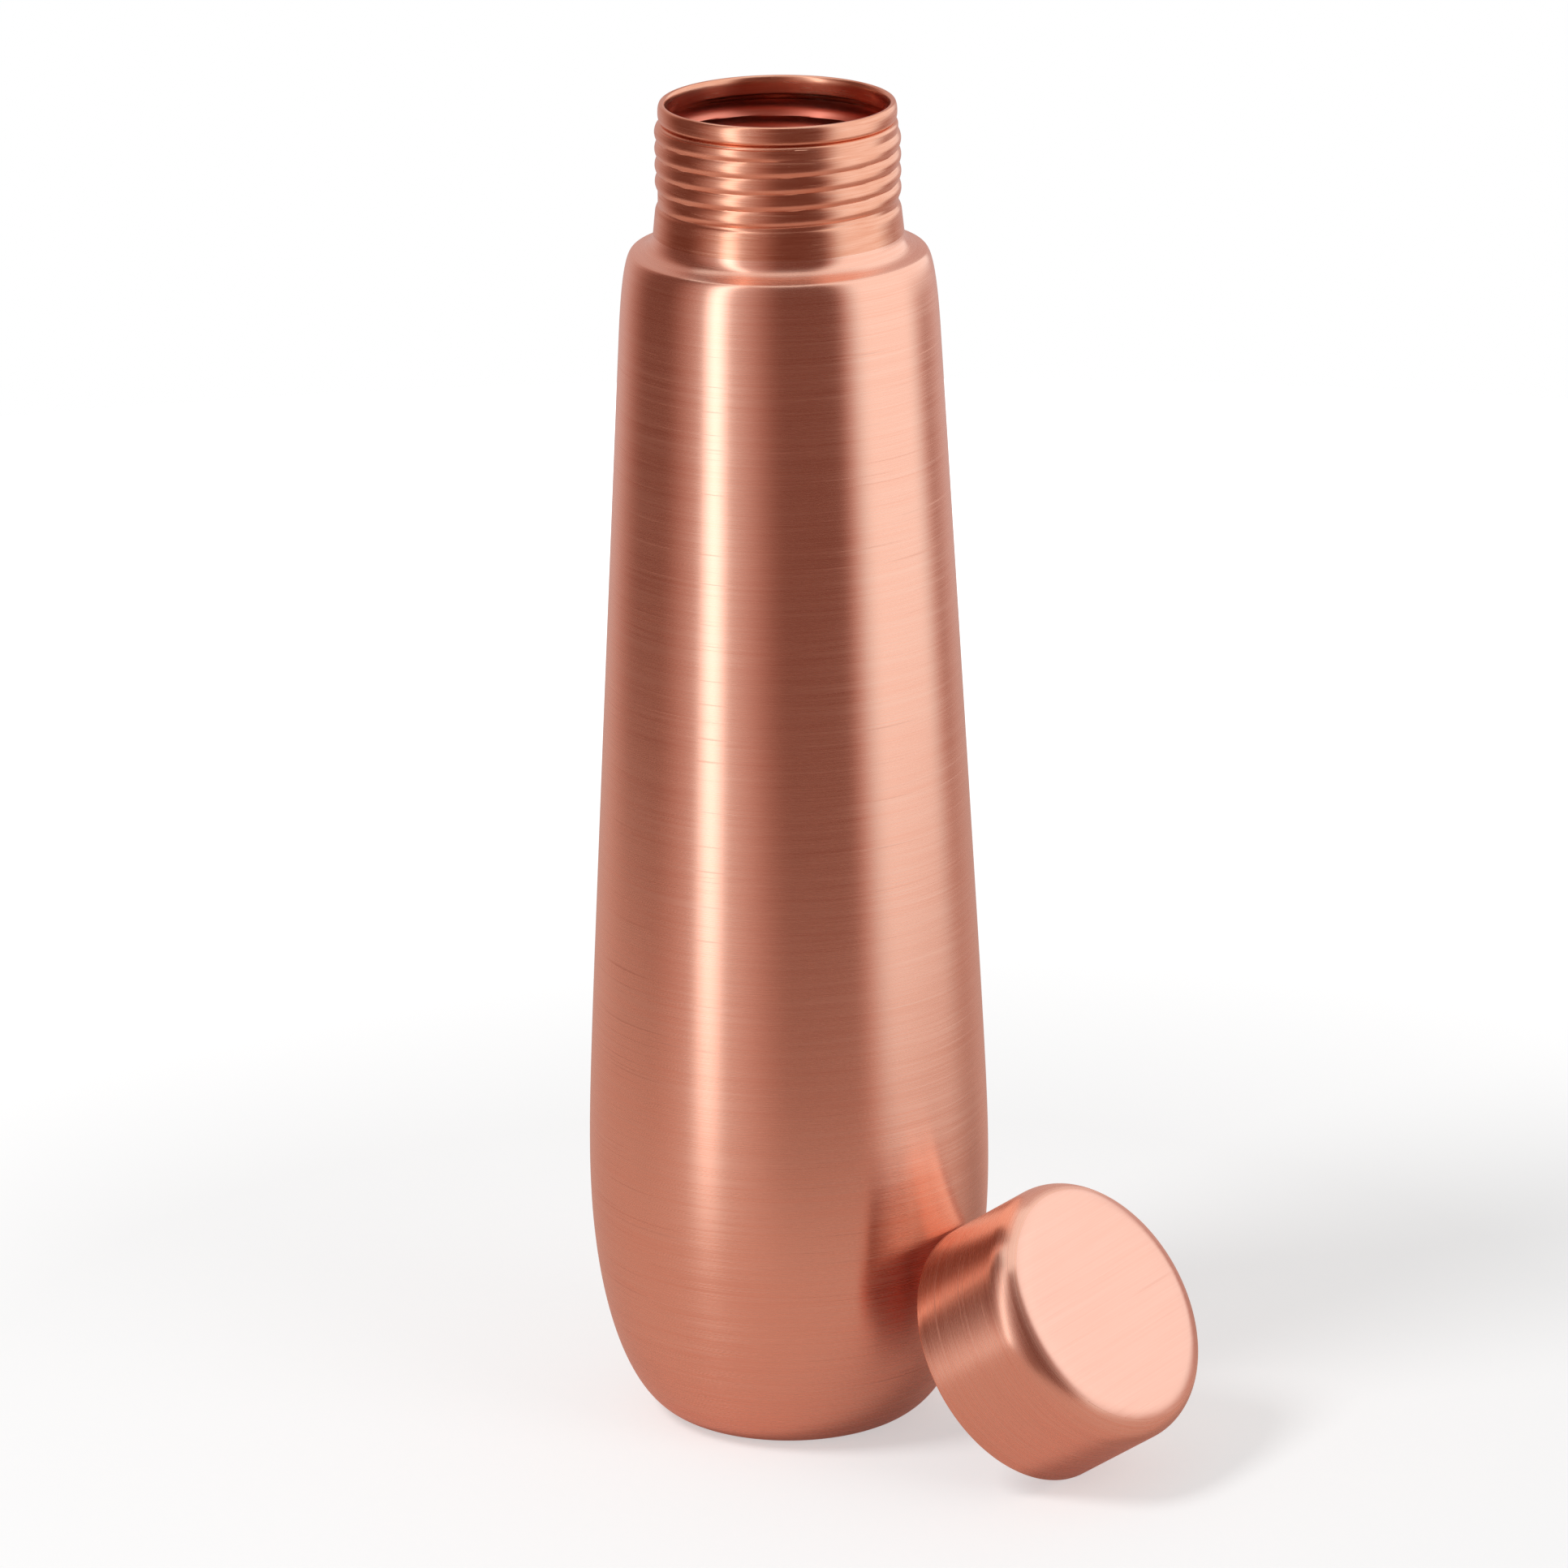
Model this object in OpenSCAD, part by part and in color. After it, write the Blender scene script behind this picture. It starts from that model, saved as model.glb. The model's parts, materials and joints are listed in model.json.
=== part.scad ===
// Copper water bottle: a spun, tapering body, a brazed-in threaded neck, a dished base
// and a screw cap that is off the neck and leans against the foot of the bottle.
// The origin is the centre of the foot, on the surface that the bottle stands on; +Z is up.

/* [Body] */
// Radius of the body at its widest
body_r = 37.5; // [31:0.5:46]
// Height of the widest place above the foot
belly_z = 50; // [38:1:62]
// Radius where the line of the side would meet the line of the shoulder
shoulder_r = 28.6; // [28:0.1:31]
// Height of that corner
shoulder_z = 224; // [150:1:300]
// Slope of the shoulder, in degrees
shoulder_slope = 18.5; // [8:0.5:28]
// Length of the side that the shoulder's rounding takes
side_blend = 14.7; // [6:0.1:18]
// Share of the shoulder that its rounding takes
shoulder_blend = 0.33; // [0.2:0.01:0.6]
// Outer radius of the flat ring that the bottle stands on
foot_r = 20; // [16:0.5:24]
// Width of that ring, where the wall is turned in
foot_flat = 3; // [1.5:0.1:5]
// Fullness of the rounding from foot to belly (2 is an ellipse)
foot_power = 2.15; // [1.9:0.05:2.6]
// Thickness of the body's wall
wall = 0.9; // [0.6:0.1:1.2]

/* [Base] */
// Thickness of the base disc
disc_t = 0.9; // [0.6:0.1:1.5]
// Height that the middle of the base disc is pressed up
disc_rise = 2.2; // [1:0.1:4]
// Width of the slope round that middle
disc_slope = 4; // [2:0.5:6]
// Distance that the disc's edge keeps from the start of the wall's curve
disc_gap = 0.3; // [0.1:0.1:0.8]

/* [Neck] */
// Radius of the mouth
mouth_r = 20.3; // [16:0.1:21]
// Thickness of the rolled lip
lip_w = 1.45; // [1.1:0.05:1.6]
// Height of the rolled lip
lip_h = 3.5; // [2.6:0.1:4]
// Depth of the crease under the lip
crease = 0.45; // [0.2:0.05:0.6]
// Height of the neck, from the shoulder to the top of the lip
neck_h = 26.4; // [24:0.1:34]
// Thickness of the neck's wall
neck_wall = 0.8; // [0.6:0.1:0.9]
// Distance from the lip's side out to the root of the thread
root_step = 0.15; // [0:0.05:0.4]
// Bare height between the collar and the thread
thread_rest = 0.1; // [0.05:0.05:0.5]
// Height of the thread above its root
thread_h = 0.5; // [0.4:0.05:0.7]
// Rise of the thread in one turn
thread_pitch = 3.05; // [2.5:0.05:3.7]
// Width of the thread's ridge, as a share of the pitch
ridge_share = 0.82; // [0.6:0.01:0.86]
// Direction in which the thread starts, seen from above
thread_start = 175; // [5:10:355]
// Height of the plain collar below the thread
collar_h = 6.9; // [6.7:0.1:10]
// Distance that the collar flares out towards the shoulder
collar_flare = 0.7; // [0:0.05:1]
// Depth that the neck reaches below the shoulder
skirt_h = 3; // [2:0.5:5]
// Size of the ground braze fillet round the neck
braze = 2.2; // [1:0.1:3]

/* [Cap] */
// Height above the shoulder at which the closed cap's rim stands
cap_stand = 6.2; // [5:0.1:6.6]
// Outer radius of the rounding between the cap's side and top
cap_edge = 5.5; // [3:0.1:6]
// Thickness of the cap's wall
cap_wall = 0.8; // [0.6:0.1:1.2]
// Hollow between the liner and the cap's side
side_hollow = 1.5; // [1.3:0.1:4]
// Hollow between the liner and the cap's top
top_hollow = 1.8; // [1:0.1:4]
// Thickness of the liner's wall
liner_wall = 0.6; // [0.4:0.1:0.8]
// Distance from the cap's rim in to the liner's flange
flange_inset = 0.6; // [0.4:0.1:1.5]
// Thickness of the gasket
gasket_t = 1.5; // [1:0.1:2.5]
// Width of the gasket
gasket_w = 3.4; // [2.5:0.1:5]

/* [Lean] */
// Angle between the cap's axis and the ground
lean_tilt = 34.8; // [25:0.1:55]
// Direction round the bottle in which the cap lies
lean_turn = -36; // [-180:1:180]

/* [Fits] */
// Clearance between the two threads
thread_gap = 0.2; // [0.1:0.05:0.3]
// Clearance between the gasket and the cap
gasket_gap = 0.1; // [0.05:0.05:0.2]
// Clearance between pieces that are pushed together
seat_gap = 0.02; // [0.01:0.01:0.05]
// Gap between the leaning cap and the body
lean_gap = 0.3; // [0.2:0.1:1]

/* [Hidden] */
$fn = 96;
copper = "#c9825f";
braze_metal = "#c58860";
silicone = "#d9d6cf";

// Radii of the neck, each from the one inside it.
lip_r = mouth_r + lip_w;
root_r = lip_r + root_step;
crest_r = root_r + thread_h;
collar_r = crest_r + collar_flare;
neck_hole_r = collar_r + seat_gap;

// The side of the body: straight above, turning smoothly upright at the belly.
belly_turn = 14;
side_fall = (body_r - shoulder_r) / (norm([shoulder_z - belly_z, belly_turn]) - belly_turn);
function side_r(z) = body_r - side_fall * (norm([z - belly_z, belly_turn]) - belly_turn);
function foot_side_r(z) =
    foot_r + (body_r - foot_r) * pow(1 - pow(1 - z / belly_z, foot_power), 1 / foot_power);
function body_r_at(z) = z < belly_z ? foot_side_r(z) : side_r(z);

// The shoulder: a cone from its outer corner in to the neck.
function shoulder_at(r) = [r, shoulder_z + (shoulder_r - r) * tan(shoulder_slope)];
blend_z = shoulder_z - side_blend;
blend_r = shoulder_r - shoulder_blend * (shoulder_r - collar_r);

// Heights of the neck, from the shoulder up.
neck_z = shoulder_at(collar_r)[1];
collar_z = neck_z + collar_h;
lip_z = neck_z + neck_h;
crease_z = lip_z - lip_h;

// The thread fills the height between the collar's edge and the crease.
ridge_w = ridge_share * thread_pitch;
thread_low_z = collar_z + thread_h + thread_rest + ridge_w / 2;
thread_high_z = crease_z - crease - thread_rest - ridge_w / 2;
thread_turns = (thread_high_z - thread_low_z) / thread_pitch;
ridge_root = 0.45;
ridge_sink = 0.15;
ridge_fall = 0.08;
ridge_steps = 36;

// The cap, from its open rim at zero up to its top.
liner_depth = neck_h - cap_stand + gasket_t + 2 * gasket_gap;
liner_mouth = collar_h - cap_stand + 1;
liner_r = crest_r + thread_gap + liner_wall;
cap_inner_r = liner_r + side_hollow;
cap_r = cap_inner_r + cap_wall;
cap_h = liner_depth + liner_wall + top_hollow + cap_wall;
gasket_r = root_r + thread_gap - gasket_gap;

// The cap's rim stands on the ground below and reaches the body above.
rim_round = cap_wall / 2;
rim_r = cap_r - rim_round;
lean_z = rim_r * cos(lean_tilt) + rim_round * (1 - sin(lean_tilt));
touch_z = lean_z + rim_r * cos(lean_tilt) + rim_round * sin(lean_tilt);
lean_r = body_r_at(touch_z) + lean_gap + rim_round * (1 - cos(lean_tilt)) + rim_r * sin(lean_tilt);

// A curve that leaves a towards b and arrives at c from b.
function bend(a, b, c, steps) =
    [for (i = [0:steps]) let (t = i / steps) a * (1 - t) ^ 2 + 2 * b * t * (1 - t) + c * t ^ 2];

// Points on a quarter or more of a circle.
function arc(centre, r, from, to, steps) =
    [for (i = [0:steps]) let (a = from + (to - from) * i / steps) centre + r * [cos(a), sin(a)]];

// A line moved sideways by d, to its left.
function left_of(line, i) =
    let (v = line[min(i + 1, len(line) - 1)] - line[max(i - 1, 0)]) [-v[1], v[0]] / norm(v);
function beside(line, d) = [for (i = [0:len(line) - 1]) line[i] + d * left_of(line, i)];
function reversed(line) = [for (i = [len(line) - 1:-1:0]) line[i]];

// Outside of the body, from the inner edge of its foot up to the hole for the neck.
foot_steps = 16;
side_steps = 10;
foot_line = [for (i = [0:foot_steps])
    let (z = belly_z * (1 - cos(90 * i / foot_steps))) [foot_side_r(z), z]];
side_line = [for (i = [1:side_steps - 1])
    let (z = belly_z + (blend_z - belly_z) * i / side_steps) [side_r(z), z]];
shoulder_line = bend([side_r(blend_z), blend_z], [shoulder_r, shoulder_z], shoulder_at(blend_r), 10);
outer_line = concat([[foot_r - foot_flat, 0]], foot_line, side_line, shoulder_line);
inner_line = beside(outer_line, wall);
hole_top = shoulder_at(neck_hole_r);
hole_bottom = hole_top - [0, wall / cos(shoulder_slope)];

module body_shell() {
    color(copper)
        rotate_extrude()
            polygon(concat(outer_line, [hole_top, hole_bottom], reversed(inner_line)));
}

// The base disc lies on the turned-in foot, with its middle pressed up.
disc_r = foot_r - disc_gap;
disc_flat_r = foot_r - foot_flat - 0.5;
disc_top_r = disc_flat_r - disc_slope;
disc_mid = [(disc_flat_r + disc_top_r) / 2, wall + disc_rise / 2];
disc_line = concat(
    [[0, wall + disc_rise]],
    bend([disc_top_r, wall + disc_rise], [disc_mid[0], wall + disc_rise], disc_mid, 5),
    bend(disc_mid, [disc_mid[0], wall], [disc_flat_r, wall], 5),
    [[disc_r, wall]]);

module base_disc() {
    color(copper)
        rotate_extrude()
            polygon(concat(disc_line, reversed(beside(disc_line, disc_t))));
}

// Braze that fills the corner between the base disc's edge and the wall.
base_braze_points = 4;
base_corner = [for (i = [1:base_braze_points - 1]) inner_line[i]];

module base_braze() {
    color(braze_metal)
        rotate_extrude()
            polygon(concat([[disc_r, wall]], base_corner,
                [[disc_r, inner_line[base_braze_points - 1][1]]]));
}

// A round-topped ridge that climbs along the thread, fading out at the ends that fade names.
// grow makes it larger all round, to cut a groove for it.
function fade_at(i, last, fade) = min(1, fade[0] ? i * 6 / ridge_steps : 1,
    fade[1] ? (last - i) * 6 / ridge_steps : 1);
function ridge_section(height, grow) = concat(
    [[root_r - ridge_root, -ridge_w / 2 - grow]],
    [for (a = [0:36:180])
        [root_r - ridge_sink + (height + ridge_sink) * sin(a), -(ridge_w / 2 + grow) * cos(a)]],
    [[root_r - ridge_root, ridge_w / 2 + grow]]);

module thread_ridge(turns, grow, fade) {
    last = ceil(turns * ridge_steps);
    rings = [for (i = [0:last])
        ridge_section((thread_h + grow + ridge_fall) * fade_at(i, last, fade) - ridge_fall, grow)];
    n = len(rings[0]);
    points = [for (i = [0:last], p = rings[i])
        let (a = 360 * i / ridge_steps) [p[0] * cos(a), p[0] * sin(a), p[1] + thread_pitch * a / 360]];
    sides = [for (i = [0:last - 1], j = [0:n - 1])
        let (k = (j + 1) % n) [i * n + k, (i + 1) * n + k, (i + 1) * n + j, i * n + j]];
    ends = [[for (j = [n - 1:-1:0]) j], [for (j = [0:n - 1]) last * n + j]];
    polyhedron(points, concat(sides, ends));
}

// The neck: skirt, flared collar, threaded wall, crease and rolled lip.
lip_round = lip_w / 2;
neck_outside = concat(
    [[collar_r, neck_z - skirt_h], [collar_r, neck_z], [crest_r, collar_z],
        [root_r, collar_z + thread_h], [root_r, crease_z - crease],
        [lip_r - crease, crease_z]],
    arc([lip_r - crease, crease_z + crease], crease, -90, 0, 5),
    arc([mouth_r + lip_round, lip_z - lip_round], lip_round, 0, 180, 12));
neck_inside = [
    [mouth_r, crease_z], [root_r - neck_wall, crease_z - neck_wall],
    [root_r - neck_wall, collar_z], [collar_r - neck_wall, neck_z],
    [collar_r - neck_wall, neck_z - skirt_h]];

module neck() {
    color(copper) {
        rotate_extrude()
            polygon(concat(neck_outside, neck_inside));
        translate([0, 0, thread_low_z])
            rotate(thread_start)
                thread_ridge(thread_turns, 0, [true, true]);
    }
}

// Hollow fillet of braze, ground smooth between the collar and the shoulder.
braze_top = [collar_r - collar_flare * braze / collar_h, neck_z + braze];

module neck_braze() {
    color(braze_metal)
        rotate_extrude()
            polygon(concat([shoulder_at(collar_r)],
                bend(shoulder_at(collar_r + braze), shoulder_at(collar_r), braze_top, 8)));
}

// Places what is drawn upright on its rim where the cap leans.
module leaning() {
    rotate(lean_turn)
        translate([lean_r, 0, lean_z])
            rotate([0, 90 - lean_tilt, 0])
                children();
}

module cap_shell() {
    edge_z = cap_h - cap_edge;
    edge_r = cap_r - cap_edge;
    color(copper)
        leaning()
            rotate_extrude()
                polygon(concat(
                    arc([rim_r, rim_round], rim_round, -180, 0, 10),
                    arc([edge_r, edge_z], cap_edge, 0, 90, 12),
                    [[0, cap_h], [0, cap_h - cap_wall]],
                    arc([edge_r, edge_z], cap_edge - cap_wall, 90, 0, 12)));
}

// The liner: a threaded cup held in the cap by its flange.
module cap_liner() {
    mouth = collar_r + thread_gap;
    bore = root_r + thread_gap;
    flange_z = flange_inset + liner_wall;
    step_z = liner_mouth + liner_wall;
    groove_turns = (liner_depth - gasket_t - liner_mouth) / thread_pitch;
    color(copper)
        leaning()
            difference() {
                rotate_extrude()
                    polygon([
                        [mouth, flange_inset], [cap_inner_r - seat_gap, flange_inset],
                        [cap_inner_r - seat_gap, flange_z], [mouth + liner_wall, flange_z],
                        [mouth + liner_wall, step_z], [liner_r, step_z + liner_wall],
                        [liner_r, liner_depth + liner_wall], [0, liner_depth + liner_wall],
                        [0, liner_depth], [bore, liner_depth],
                        [bore, liner_mouth + thread_gap], [mouth, liner_mouth]]);
                translate([0, 0, liner_mouth - ridge_w / 2])
                    rotate(180 / ridge_steps)
                        thread_ridge(groove_turns, thread_gap, [false, true]);
            }
}

// The gasket lies against the liner's disc and meets the lip when the cap is closed.
module cap_gasket() {
    color(silicone)
        leaning()
            translate([0, 0, liner_depth - gasket_gap - gasket_t])
                difference() {
                    cylinder(r = gasket_r, h = gasket_t);
                    translate([0, 0, -1])
                        cylinder(r = gasket_r - gasket_w, h = gasket_t + 2);
                }
}

body_shell();
base_disc();
base_braze();
neck();
neck_braze();
cap_shell();
cap_liner();
cap_gasket();
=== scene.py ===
import json
import math

import bpy
from mathutils import Matrix, Vector


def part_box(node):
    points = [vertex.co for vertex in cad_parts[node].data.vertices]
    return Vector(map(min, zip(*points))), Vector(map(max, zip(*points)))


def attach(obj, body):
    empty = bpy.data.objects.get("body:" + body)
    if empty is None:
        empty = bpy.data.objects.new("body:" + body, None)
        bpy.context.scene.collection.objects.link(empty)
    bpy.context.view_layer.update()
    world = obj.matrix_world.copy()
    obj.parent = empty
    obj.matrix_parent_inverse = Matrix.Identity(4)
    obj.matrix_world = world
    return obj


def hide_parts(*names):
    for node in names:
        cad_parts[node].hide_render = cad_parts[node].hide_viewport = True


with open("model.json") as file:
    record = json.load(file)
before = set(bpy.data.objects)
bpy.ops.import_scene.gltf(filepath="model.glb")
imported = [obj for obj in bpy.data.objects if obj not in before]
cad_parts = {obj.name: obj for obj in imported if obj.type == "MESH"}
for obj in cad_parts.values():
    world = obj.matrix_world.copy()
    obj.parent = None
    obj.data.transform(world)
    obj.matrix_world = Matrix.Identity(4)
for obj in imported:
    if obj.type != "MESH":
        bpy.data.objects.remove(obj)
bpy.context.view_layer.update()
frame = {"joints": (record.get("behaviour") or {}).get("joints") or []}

mm = 0.001
joints = {joint["name"]: joint for joint in frame["joints"]}
bodyLow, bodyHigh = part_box("body_shell")
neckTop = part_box("neck")[1]
bellyRadius = min(abs(v) for v in (bodyLow.x, bodyLow.y, bodyHigh.x, bodyHigh.y)) / mm
tuck = 0.015  # mm that turned skins stay inside the frame's facets
print("frame loaded, neck top at", round(neckTop.z / mm, 2), "mm")


# small helpers

def linear(hexColour):
    channels = [int(hexColour[i:i + 2], 16) / 255 for i in (1, 3, 5)]
    return [c / 12.92 if c <= 0.04045 else ((c + 0.055) / 1.055) ** 2.4 for c in channels] + [1]


def addNode(tree, kind, inputs=(), out=None, **settings):
    # inputs go by name or, in a list, by order; out picks the output that is handed back
    node = tree.nodes.new(kind)
    for name, value in settings.items():
        setattr(node, name, value)
    for name, value in inputs.items() if isinstance(inputs, dict) else enumerate(inputs):
        if isinstance(value, bpy.types.NodeSocket):
            tree.links.new(value, node.inputs[name])
        else:
            node.inputs[name].default_value = value
    return node if out is None else node.outputs[out]


maths, remap, mixer = "ShaderNodeMath", "ShaderNodeMapRange", "ShaderNodeMix"


def bend(a, b, c, steps):  # leaves a towards b, arrives at c from b
    points = []
    for i in range(steps + 1):
        t = i / steps
        points.append(tuple(a[k] * (1 - t) ** 2 + 2 * b[k] * t * (1 - t) + c[k] * t * t for k in (0, 1)))
    return points


def arc(centre, radius, start, end, steps):
    angles = [math.radians(start + (end - start) * i / steps) for i in range(steps + 1)]
    return [(centre[0] + radius * math.cos(a), centre[1] + radius * math.sin(a)) for a in angles]


def beside(line, distance):  # a line moved sideways, to its left
    moved = []
    for i, point in enumerate(line):
        before, after = line[max(i - 1, 0)], line[min(i + 1, len(line) - 1)]
        dr, dz = after[0] - before[0], after[1] - before[1]
        size = math.hypot(dr, dz)
        moved.append((point[0] - distance * dz / size, point[1] + distance * dr / size))
    return moved


def refine(line, step):  # splits long straight stretches
    points = [line[0]]
    for a, b in zip(line, line[1:]):
        count = max(1, math.ceil(math.dist(a, b) / step))
        points += [tuple(a[k] + (b[k] - a[k]) * i / count for k in (0, 1)) for i in range(1, count + 1)]
    return points


# turned pieces: one tree spins a section round its axis and rolls the thread into it

mapWidth = 0.15  # metres of map round a piece, about the girth of the neck
weldDistance = 0.002 * mm
sharpAngle = math.radians(32)
crestFullness = 0.42  # under 0.5 gives wide round crests and narrow valleys


def buildTurning():
    tree = bpy.data.node_groups.new("turning", "GeometryNodeTree")
    face = tree.interface
    face.new_socket("Section", in_out="INPUT", socket_type="NodeSocketGeometry")
    for name in ("Thread Pitch", "Thread Height", "Thread Low", "Thread Turns", "Thread Start", "Thread Fade",
                 "Crest Fullness"):
        face.new_socket(name, in_out="INPUT", socket_type="NodeSocketFloat")
    face.new_socket("Segments", in_out="INPUT", socket_type="NodeSocketInt")
    for name in ("Finish", "Second Finish"):
        face.new_socket(name, in_out="INPUT", socket_type="NodeSocketMaterial")
    face.new_socket("Piece", in_out="OUTPUT", socket_type="NodeSocketGeometry")

    given = addNode(tree, "NodeGroupInput").outputs

    # a grid with one column for each step round the axis and one row for each point of the section
    count = addNode(tree, "GeometryNodeAttributeDomainSize", {"Geometry": given["Section"]}, "Point Count")
    columns = addNode(tree, maths, [given["Segments"], 1.0], 0, operation="ADD")
    grid = addNode(tree, "GeometryNodeMeshGrid", {"Vertices X": columns, "Vertices Y": count}, "Mesh")
    index = addNode(tree, "GeometryNodeInputIndex", out=0)
    share = addNode(tree, maths, [index, count], 0, operation="DIVIDE")
    column = addNode(tree, maths, [share], 0, operation="FLOOR")
    before = addNode(tree, maths, [column, count], 0, operation="MULTIPLY")
    row = addNode(tree, maths, [index, before], 0, operation="SUBTRACT")

    marks = {}
    for name in ("threaded", "second", "along", "lined"):
        mark = addNode(tree, "GeometryNodeInputNamedAttribute", {"Name": name}, "Attribute", data_type="FLOAT")
        marks[name] = addNode(tree, "GeometryNodeSampleIndex",
                              {"Geometry": given["Section"], "Value": mark, "Index": row}, "Value",
                              data_type="FLOAT", domain="POINT")
    drawn = addNode(tree, "GeometryNodeInputPosition", out=0)
    drawn = addNode(tree, "GeometryNodeSampleIndex", {"Geometry": given["Section"], "Value": drawn, "Index": row},
                    "Value", data_type="FLOAT_VECTOR", domain="POINT")
    place = addNode(tree, "ShaderNodeSeparateXYZ", [drawn]).outputs
    around = addNode(tree, maths, [column, given["Segments"]], 0, operation="DIVIDE")
    angle = addNode(tree, maths, [around, 2 * math.pi], 0, operation="MULTIPLY")

    # height of the thread's round crest at this angle and height
    turned = addNode(tree, maths, [around, given["Thread Start"]], 0, operation="SUBTRACT")
    turned = addNode(tree, maths, [turned], 0, operation="FRACT")
    climbed = addNode(tree, maths, [place["Z"], given["Thread Low"]], 0, operation="SUBTRACT")
    climbed = addNode(tree, maths, [climbed, given["Thread Pitch"]], 0, operation="DIVIDE")
    phase = addNode(tree, maths, [climbed, turned], 0, operation="SUBTRACT")
    turns = addNode(tree, maths, [phase], 0, operation="ROUND")
    turns = addNode(tree, maths, [turns, turned], 0, operation="ADD")
    wave = addNode(tree, maths, [phase, 2 * math.pi], 0, operation="MULTIPLY")
    wave = addNode(tree, maths, [wave], 0, operation="COSINE")
    wave = addNode(tree, maths, [wave, 1.0], 0, operation="ADD")
    wave = addNode(tree, maths, [wave, 0.5], 0, operation="MULTIPLY")
    crest = addNode(tree, maths, [wave, given["Crest Fullness"]], 0, operation="POWER")
    left = addNode(tree, maths, [given["Thread Turns"], turns], 0, operation="SUBTRACT")
    for end in (turns, left):  # the thread runs out softly at both ends
        fade = addNode(tree, remap, {"Value": end, "From Min": 0.0, "From Max": given["Thread Fade"]}, 0,
                       interpolation_type="SMOOTHSTEP")
        crest = addNode(tree, maths, [crest, fade], 0, operation="MULTIPLY")
    height = addNode(tree, maths, [given["Thread Height"], marks["threaded"]], 0, operation="MULTIPLY")
    rise = addNode(tree, maths, [crest, height], 0, operation="MULTIPLY")
    radius = addNode(tree, maths, [place["X"], rise], 0, operation="ADD")

    east = addNode(tree, maths, [angle], 0, operation="COSINE")
    east = addNode(tree, maths, [radius, east], 0, operation="MULTIPLY")
    north = addNode(tree, maths, [angle], 0, operation="SINE")
    north = addNode(tree, maths, [radius, north], 0, operation="MULTIPLY")
    spot = addNode(tree, "ShaderNodeCombineXYZ", [east, north, place["Z"]], 0)
    shape = addNode(tree, "GeometryNodeSetPosition", {"Geometry": grid, "Position": spot}, 0)

    # the map runs round the piece in U and along its section in V, and flat over a lined face
    wound = addNode(tree, maths, [around, mapWidth], 0, operation="MULTIPLY")
    rolled = addNode(tree, "ShaderNodeCombineXYZ", {"X": wound, "Y": marks["along"]}, 0)
    flat = addNode(tree, mixer, {0: marks["lined"], 4: rolled, 5: spot}, 1, data_type="VECTOR")
    flat = addNode(tree, "GeometryNodeFieldOnDomain", {"Value": flat}, 0, data_type="FLOAT_VECTOR", domain="POINT")
    here = addNode(tree, "GeometryNodeInputPosition", out=0)
    for name, value, kind, domain in (("second", marks["second"], "FLOAT", "POINT"),
                                      ("wrap", flat, "FLOAT2", "CORNER"),
                                      ("own", here, "FLOAT_VECTOR", "POINT")):
        shape = addNode(tree, "GeometryNodeStoreNamedAttribute", {"Geometry": shape, "Name": name, "Value": value}, 0,
                        data_type=kind, domain=domain)

    # the seam and the poles close, and creases stay sharp
    shape = addNode(tree, "GeometryNodeMergeByDistance", {"Geometry": shape, "Distance": weldDistance}, 0)
    shape = addNode(tree, "GeometryNodeSetShadeSmooth", {"Geometry": shape, "Shade Smooth": True}, 0)
    crease = addNode(tree, "GeometryNodeInputMeshEdgeAngle", out="Unsigned Angle")
    sharp = addNode(tree, "FunctionNodeCompare", [crease, sharpAngle], 0, data_type="FLOAT", operation="GREATER_THAN")
    shape = addNode(tree, "GeometryNodeSetShadeSmooth",
                    {"Geometry": shape, "Selection": sharp, "Shade Smooth": False}, 0, domain="EDGE")
    shape = addNode(tree, "GeometryNodeRealizeInstances", {"Geometry": shape}, 0)
    shape = addNode(tree, "GeometryNodeSetMaterial", {"Geometry": shape, "Material": given["Finish"]}, 0)
    mark = addNode(tree, "GeometryNodeInputNamedAttribute", {"Name": "second"}, "Attribute", data_type="FLOAT")
    isSecond = addNode(tree, "FunctionNodeCompare", [mark, 0.5], 0, data_type="FLOAT", operation="GREATER_THAN")
    shape = addNode(tree, "GeometryNodeSetMaterial",
                    {"Geometry": shape, "Selection": isSecond, "Material": given["Second Finish"]}, 0)
    addNode(tree, "NodeGroupOutput", [shape])
    return tree


turning = buildTurning()
noThread = {"pitch": 1.0, "height": 0.0, "low": 0.0, "turns": 1.0, "start": 0.0, "fade": 0.1}


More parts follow.
